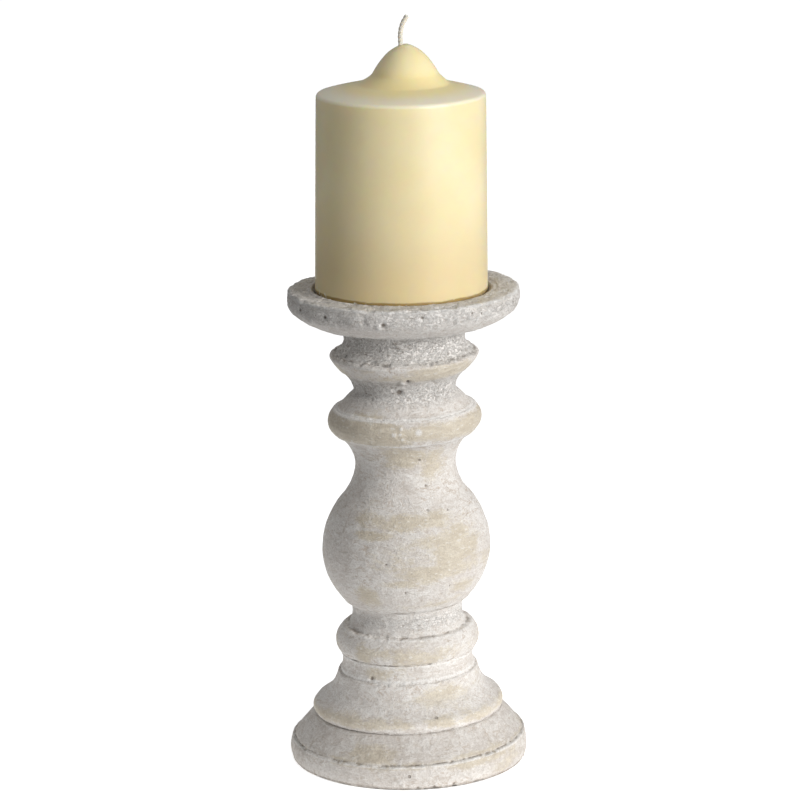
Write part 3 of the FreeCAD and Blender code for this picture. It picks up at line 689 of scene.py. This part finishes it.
hand_worked(
    baluster, rubbed_bands=[(145.0, 3.4, 1.0), (167.5, 1.6, 0.5)],
    rubbed_patches=[(-70, 167, 9, 3, 0.9), (45, 168.5, 14, 2.4, 0.8), (-25, 174.4, 6, 0.8, 1.0),
                    (30, 174.4, 9, 0.8, 1.0), (-35, 170, 6, 2.2, 0.5), (5, 133, 9, 5, 0.6),
                    (28, 128, 5, 8, 0.6), (5, 108, 16, 2.5, 0.7), (38, 96, 14, 6, 0.75),
                    (20, 100, 10, 3, 0.6), (-25, 103, 6, 1.4, 0.8), (52, 88, 14, 4, 0.7),
                    (25, 88, 12, 3, 0.6), (-12, 83, 12, 1.5, 0.5), (-28, 76, 5, 5, 0.6),
                    (15, 72, 14, 2.0, 0.5), (45, 80, 9, 3, 0.5)],
    dents=[(-3, 147.6, 0.8, -0.5), (-3.5, 145.6, 0.7, -0.5), (-2, 143.6, 0.7, -0.4), (10, 146, 1.6, -0.25),
           (-2, 165.5, 1.2, -0.8), (3, 165.8, 0.8, 0.9), (-6, 160.5, 1.6, 0.6), (-8, 145.5, 1.1, -0.5),
           (22, 121, 0.7, 0.6), (19, 112, 0.8, 0.6), (38, 111, 0.6, 0.5), (-14, 92, 0.7, 0.6),
           (-1, 79, 0.7, 0.6)])

# ---------------------------------------------------------------- dish dowel
# A thinner beech dowel, glued into the collar of the baluster and the underside of the dish, keeps
# the dish on the axis.

dress("dish_dowel", BEECH)

# ---------------------------------------------------------------- dish
# The dish is a shallow turned bowl with a thick, worn lip and a round seat let into its flat top.
# Its edge has crumbled more than the rest, with pits and clots in the coat.

dish_bottom, dish_top = (corner.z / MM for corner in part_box("dish"))
seat_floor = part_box("candle")[0].z / MM
plate_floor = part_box("pricket_plate")[0].z / MM
PLATE_GAP, SPIKE_SOCKET = 0.3, 3.4     # mm: the gap round the plate, and the radius for the spike's head
DOWEL_REACH = 9                        # mm of the dish dowel's hole in the dish
plate_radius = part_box("pricket_plate")[1].x / MM + PLATE_GAP
spike_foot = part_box("pricket_spike")[0].z / MM
SEAT_RADIUS, SEAT_SHIFT = 36.6, -0.7   # mm: the coat has crept into the seat, round the candle
SEAT_EDGE = 0.5                        # mm from there to the flat of the lip
dish_line, dish_cuts = turned_outline(dish_bottom, 27.0, [
    (2.4, 33.0, 37.2), (5.6, 43.2, 46.4), (6.9, 47.7, 46.9), (0.9, 46.6, 45.6)])
dish_line = np.concatenate([dish_line, [(SEAT_RADIUS + SEAT_EDGE, dish_top)]])
dish_cuts += [dish_top, dish_top - 2.5, dish_top - 5, 185, 187]
dish = turned_section(
    "dish", dish_line, dish_cuts,
    below=[(0, dish_bottom + DOWEL_REACH), (DISH_SOCKET, dish_bottom + DOWEL_REACH),
           (DISH_SOCKET, dish_bottom)],
    above=[(SEAT_RADIUS, dish_top - 0.3), (SEAT_RADIUS, seat_floor), (plate_radius, seat_floor),
           (plate_radius, plate_floor), (SPIKE_SOCKET, plate_floor), (SPIKE_SOCKET, spike_foot),
           (0, spike_foot)],
    finish=LIMEWASH, around=AROUND_WIDE, seed=53, lumps=1.1, round_off=1.8,
    crumble=[(195.5, 3.0, 0.35), (199.5, 0.7, 0.8)], curdle=[(196, 4.5, 0.45), (186, 2, 0.3)],
    cut=[(184.7, 0.22, 1.0), (185.7, 0.18, 0.8), (186.9, 0.16, 0.8), (188.4, 0.16, 0.5)],
    ridge=[(191.5, 0.6, 0.4), (199.2, 0.5, 1.0), (186.3, 0.3, 0.5)],
    level=[(196, 200, 38.5)])
places = vertices_of(dish.data)
above_seat = places[:, 2] > seat_floor - 0.2
places[:, 0] += SEAT_SHIFT * bell(np.hypot(places[:, 0], places[:, 1]), SEAT_RADIUS, 1.6) * above_seat
put_vertices(dish.data, places)
hand_worked(dish, rubbed_bands=[(200.0, 0.6, 0.15)],
            rubbed_patches=[(-5, 200, 20, 2, 0.4), (50, 199, 12, 2, 0.4)],
            dents=[(-62, 196, 1.2, 0.9), (-42, 195.5, 1.0, 0.9), (9, 197.0, 0.9, 0.9), (70, 196, 1.0, 0.9),
                   (-10, 194.0, 1.2, 0.9), (-12, 193.4, 1.4, -0.6), (26, 196, 1.2, -0.9),
                   (27, 193.6, 1.0, -0.9), (33, 195, 1.0, -0.5), (38, 194, 1.1, -0.6),
                   (44, 195.6, 0.9, -0.5), (35, 196.7, 0.7, 0.6), (41, 195.9, 0.7, 0.6),
                   (-52, 193, 1.2, -0.7)])

# ---------------------------------------------------------------- pricket
# A rolled steel disc lies flush in the seat, and a headed spike comes up through it. Two small
# countersunk screws hold it down, and the candle is pushed onto the spike.


def steel_finish():
    steel, tree, shader, place = new_finish("rolled_steel")
    rolled = noise(tree, scale_vector(tree, place, (0.05, 1.0, 1.0)), 1500.0, 3.0, 0.5)
    stain = noise(tree, place, 160.0, 4.0, 0.6, 7.0)
    colour = mixed(tree, ramp(tree, rolled, 0.3, 0.7), (0.36, 0.36, 0.36), (0.50, 0.50, 0.49))
    tree.links.new(mixed(tree, ramp(tree, stain, 0.5, 0.75, 0.0, 0.5), colour, (0.24, 0.22, 0.20)),
                   shader.inputs["Base Color"])
    tree.links.new(ramp(tree, stain, 0.3, 0.7, 0.3, 0.5), shader.inputs["Roughness"])
    tree.links.new(bumped(tree, rolled, 0.03 * MM), shader.inputs["Normal"])
    settle(shader, Metallic=1.0)
    return steel


STEEL = steel_finish()
dress("pricket_plate", STEEL)
dress("pricket_spike", STEEL)
dress("pricket_screws", ZINC)

# ---------------------------------------------------------------- candle
# The candle is cast from ivory wax in a polished mould: smooth sides, a rounded rim with a painted
# highlight and a peaked top round the wick. Light goes a long way into it.

candle_low, candle_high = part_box("candle")
candle_foot, candle_tip = candle_low.z / MM, candle_high.z / MM
candle_axis = (candle_low.x + candle_high.x) / 2 / MM
CANDLE_LEAN = 0.009      # across for each unit up
RIM_HEIGHT = 81.0        # mm from the candle's foot to its rim
DOME_SHIFT = 1.9         # mm by which the peak has slumped to one side
WICK_HOLE = (0.9, 0.6)   # mm: the radius of the pit round the wick, and its depth


def wax_finish():
    """Ivory wax: deeper yellow round the peak, with a painted highlight along the rim, darker towards the
    foot, with a thin painted contact shadow where it stands in the seat, and paler where it stood in its own
    spilt wax."""
    wax, tree, shader, place = new_finish("ivory_wax")
    clouds = noise(tree, place, 30.0, 3.0, 0.5)
    colour = mixed(tree, ramp(tree, clouds, 0.3, 0.7), (0.86, 0.76, 0.47), (0.90, 0.81, 0.55))
    height = add(tree, "ShaderNodeSeparateXYZ", Vector=place).outputs["Z"]
    wander = times(tree, calc(tree, "SUBTRACT", noise(tree, place, 90.0), 0.5), 1.6 * MM)
    uneven = calc(tree, "ADD", height, wander)
    rim_level = (candle_foot + RIM_HEIGHT) * MM

    def above_foot(level, low, high, *shares):
        return ramp(tree, level, (candle_foot + low) * MM, (candle_foot + high) * MM, *shares)

    def above_rim(low, high, *shares):
        return ramp(tree, calc(tree, "SUBTRACT", height, rim_level), low * MM, high * MM, *shares)

    off_rim = calc(tree, "ABSOLUTE", calc(tree, "SUBTRACT", uneven, rim_level))
    # painted highlight: a pale band along the rim and just inside it
    rim_highlight = calc(tree, "MAXIMUM", ramp(tree, off_rim, 0.3 * MM, 1.4 * MM, 0.45, 0.0),
                 times(tree, above_rim(-0.8, 0.2), above_rim(0.8, 3.4, 0.5, 0.0)))
    pooled = times(tree, above_rim(1.0, 3.4), above_rim(13, 6, 0.3))
    spilt = times(tree, above_foot(height, 4.5, 2.2),
                  ramp(tree, noise(tree, place, 210.0, 3.0, 0.6, 8.0), 0.58, 0.64))
    for share, tint in ((times(tree, pooled, 0.85), (0.91, 0.77, 0.39)),
                        (above_foot(height, 0, 55, 0.8, 0.0), (0.76, 0.63, 0.37)),
                        # painted contact shadow: a dark amber line along the candle's foot, where it stands
                        # in the seat
                        (above_foot(uneven, 1.6, 2.2, 0.8, 0.0), (0.36, 0.22, 0.06)),
                        (rim_highlight, (0.88, 0.85, 0.76)), (spilt, (0.94, 0.91, 0.82))):
        colour = mixed(tree, share, colour, tint)
    tree.links.new(colour, shader.inputs["Base Color"])
    settle(shader, Roughness=0.38, Subsurface_Weight=1.0, Subsurface_Radius=(1.0, 0.72, 0.32),
           Subsurface_Scale=4.5 * MM, IOR=1.43, Coat_Weight=0.15, Coat_Roughness=0.25)
    dents = noise(tree, place, 70.0, 2.0, 0.5, 3.0)
    fine = noise(tree, scale_vector(tree, place, (1.0, 1.0, 0.3)), 600.0, 3.0, 0.5, 6.0)
    relief = calc(tree, "ADD", dents, times(tree, fine, 0.12))
    tree.links.new(bumped(tree, relief, 0.25 * MM, 0.5), shader.inputs["Normal"])
    return wax


candle_line, candle_cuts = turned_outline(candle_foot, 34.9, [
    (0.6, 35.2, 35.3), (79.7, 34.9, 34.4), (1.2, 34.15, 33.3), (3.5, 26.6, 19.0), (3.9, 15.9, 13.6),
    (7.9, 11.2, 8.0), (4.2, 5.4, 1.1)])
candle_rows = rows_of(coated(candle_line, 0.35), [candle_foot, candle_foot + RIM_HEIGHT])
pit_floor = candle_tip - WICK_HOLE[1]
candle_corners = np.concatenate([
    [(0, candle_foot)], candle_rows, [(WICK_HOLE[0], pit_floor), (0, pit_floor)]])
candle_coat = np.ones(len(candle_corners))
candle_coat[0] = candle_coat[-2:] = 0
candle = grown("candle_cast", outline_mesh("candle_outline", candle_corners, coat=candle_coat), TURNING,
               Around=288, Rows=len(candle_corners), Out_of_round=0.35 * MM, Lumps=0.12 * MM, Brush_marks=0.0,
               Crumble=0.0, Curdle=0.0, Seed=3.0, Finish=wax_finish())
candle_places = vertices_of(candle.data)
up_dome = np.clip((candle_places[:, 2] - candle_foot - RIM_HEIGHT - 0.4) / 7.0, 0, 1)
candle_places[:, 0] += candle_axis + CANDLE_LEAN * (candle_places[:, 2] - candle_foot)
candle_places[:, 0] += DOME_SHIFT * up_dome ** 2 * (3 - 2 * up_dome)
put_vertices(candle.data, candle_places)
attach(candle, "candle")
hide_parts("candle")

# ---------------------------------------------------------------- wick
# The wick is a cotton braid of three strands, drawn stiff with wax. It has not been lit, so its cut
# end is still pale.


WICK_START = 3.0                                # mm below the tip of the candle
STRAND_RADIUS, BRAID_RADIUS, PITCH = 0.62, 0.40, 5.0    # mm
STRAND_STEP = 0.22                              # mm between rings of faces


def braid_tree():
    """Winds strands round a path, evenly spaced, and gives each a round section."""
    sizes = ("Strand radius", "Braid radius", "Pitch")
    tree, given = new_tree("braided_cord", "Path", sizes, ("Strands",), "Braid")
    path = add(tree, "GeometryNodeMeshToCurve", Mesh=given["Path"]).outputs[0]
    path = add(tree, "GeometryNodeResampleCurve", {"mode": "LENGTH"}, Curve=path,
               Length=STRAND_STEP * MM).outputs[0]
    copies = add(tree, "GeometryNodeDuplicateElements", {"domain": "SPLINE"}, Geometry=path,
                 Amount=given["Strands"]).outputs
    paths = stored(tree, copies[0], "strand", copies[1])
    tangent = add(tree, "GeometryNodeInputTangent").outputs[0]
    normal = add(tree, "GeometryNodeInputNormal").outputs[0]
    sideways = add(tree, "ShaderNodeVectorMath", {"operation": "CROSS_PRODUCT"})
    for socket, direction in zip(sideways.inputs, (tangent, normal)):
        tree.links.new(direction, socket)
    run = add(tree, "GeometryNodeSplineParameter").outputs["Length"]
    wound = times(tree, calc(tree, "DIVIDE", run, given["Pitch"]), 2 * math.pi)
    apart = times(tree, calc(tree, "DIVIDE", named_value(tree, "strand"), given["Strands"]), 2 * math.pi)
    turn = calc(tree, "ADD", wound, apart)
    moves = [pushed(tree, direction, times(tree, calc(tree, part, turn), given["Braid radius"]))
             for direction, part in ((normal, "COSINE"), (sideways.outputs[0], "SINE"))]
    paths = moved(tree, paths, moves)
    section = add(tree, "GeometryNodeCurvePrimitiveCircle", Resolution=8,
                  Radius=given["Strand radius"]).outputs[0]
    cord = add(tree, "GeometryNodeCurveToMesh", Curve=paths, Profile_Curve=section,
               Fill_Caps=True).outputs[0]
    ended(tree, cord, given["Finish"], "Braid")
    return tree


def cotton_finish():
    cotton, tree, shader, place = new_finish("waxed_cotton")
    fibre = noise(tree, scale_vector(tree, place, (1.0, 1.0, 0.35)), 3500.0, 4.0, 0.6)
    tree.links.new(mixed(tree, ramp(tree, fibre, 0.3, 0.7), (0.66, 0.60, 0.48), (0.88, 0.85, 0.78)),
                   shader.inputs["Base Color"])
    tree.links.new(bumped(tree, fibre, 0.06 * MM), shader.inputs["Normal"])
    settle(shader, Roughness=0.7, Subsurface_Weight=0.3, Subsurface_Radius=(1.0, 0.8, 0.5),
           Subsurface_Scale=0.6 * MM)
    return cotton


wick_low, wick_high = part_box("wick")
wick_radius = (wick_high.y - wick_low.y) / 2 / MM
tip_shift = CANDLE_LEAN * (candle_tip - candle_foot)
wick_x = candle_axis + tip_shift
wick_tip = (wick_high.x / MM - wick_radius + tip_shift + 0.4, wick_high.z / MM + 0.5)
wick_line = []
for share in np.linspace(0, 1, 40):
    bend = max(0.0, share - 0.2) / 0.8          # straight for the first fifth, then a slight S
    wick_line.append(((wick_x + (wick_tip[0] - wick_x) * bend ** 3 - 0.9 * bend * (1 - bend)) * MM, 0.0,
                      (candle_tip - WICK_START + (wick_tip[1] - candle_tip + WICK_START) * share) * MM))
wick_mesh = bpy.data.meshes.new("wick_path")
wick_mesh.from_pydata(wick_line, [(i, i + 1) for i in range(len(wick_line) - 1)], [])
wick = grown("wick_braid", wick_mesh, braid_tree(), Strand_radius=STRAND_RADIUS * MM,
             Braid_radius=BRAID_RADIUS * MM, Pitch=PITCH * MM, Strands=3, Finish=cotton_finish())
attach(wick, "candle")
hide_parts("wick")

# ---------------------------------------------------------------- studio
# A glowing white table that fades out towards the viewer, a large soft light at the right of the
# viewer and hardly any from the left.

REACH = 6.0                 # metres each way
FOOT_SHADE = 0.048          # metres: the table doesn't glow under the foot
GLOW, SKY, KEY = 0.74, 0.34, 26.0

floor_mesh = bpy.data.meshes.new("studio_floor")
floor_mesh.from_pydata([(-REACH, -REACH, 0), (REACH, -REACH, 0), (REACH, REACH, 0), (-REACH, REACH, 0)],
                       [], [(0, 1, 2, 3)])
floor = bpy.data.objects.new("studio_floor", floor_mesh)
bpy.context.scene.collection.objects.link(floor)
table, table_tree, table_shader, table_place = new_finish("lit_table")
along = add(table_tree, "ShaderNodeSeparateXYZ", Vector=table_place).outputs
beside = calc(table_tree, "SUBTRACT", calc(table_tree, "ABSOLUTE", along["X"]),
              times(table_tree, along["Y"], 0.11))
lit = times(table_tree, ramp(table_tree, along["Y"], -0.17, -0.07), ramp(table_tree, beside, 0.30, 0.17))
from_axis = add(table_tree, "ShaderNodeVectorMath", {"operation": "LENGTH"},
                Vector=table_place).outputs["Value"]
glow = ramp(table_tree, from_axis, FOOT_SHADE - 0.0005, FOOT_SHADE + 0.0005, 0.0, GLOW)
table_tree.links.new(times(table_tree, lit, glow), table_shader.inputs["Emission Strength"])
table_tree.links.new(mixed(table_tree, lit, (0.32, 0.32, 0.32), (0.85, 0.85, 0.85)),
                     table_shader.inputs["Base Color"])
settle(table_shader, Roughness=0.9, Specular_IOR_Level=0.1, Emission_Color=(1.0, 1.0, 1.0, 1.0))
floor_mesh.materials.append(table)

world = bpy.data.worlds.new("studio")
world.use_nodes = True
settle(world.node_tree.nodes["Background"], Color=(1.0, 1.0, 1.0, 1.0), Strength=SKY)
bpy.context.scene.world = world
bpy.context.scene.view_settings.view_transform = "Standard"

key = bpy.data.lights.new("key", "AREA")
key.shape = "RECTANGLE"
key.size = key.size_y = 0.9
key.energy = KEY
key.color = (1.0, 0.99, 0.975)
softbox = bpy.data.objects.new("key", key)
softbox.location = (1.18, -1.08, 0.66)
softbox.rotation_euler = (Vector((0, 0, 0.15)) - softbox.location).to_track_quat("-Z", "Y").to_euler()
bpy.context.scene.collection.objects.link(softbox)

# The camera looks a little down on the candlestick, from far enough away to keep its lines straight.
AIM = Vector((-0.0019, 0.0, 0.1523))
DISTANCE, TILT, ROLL, FOCAL = 1.521, math.radians(13.7), math.radians(0.7), 166.5
camera = bpy.data.objects.new("camera", bpy.data.cameras.new("camera"))
camera.data.lens = FOCAL
camera.data.clip_end = 50.0
camera.location = AIM + DISTANCE * Vector((0.0, -math.cos(TILT), math.sin(TILT)))
camera.rotation_euler = (AIM - camera.location).to_track_quat("-Z", "Y").to_euler()
camera.rotation_euler.rotate_axis("Z", -ROLL)
bpy.context.scene.collection.objects.link(camera)
bpy.context.scene.camera = camera
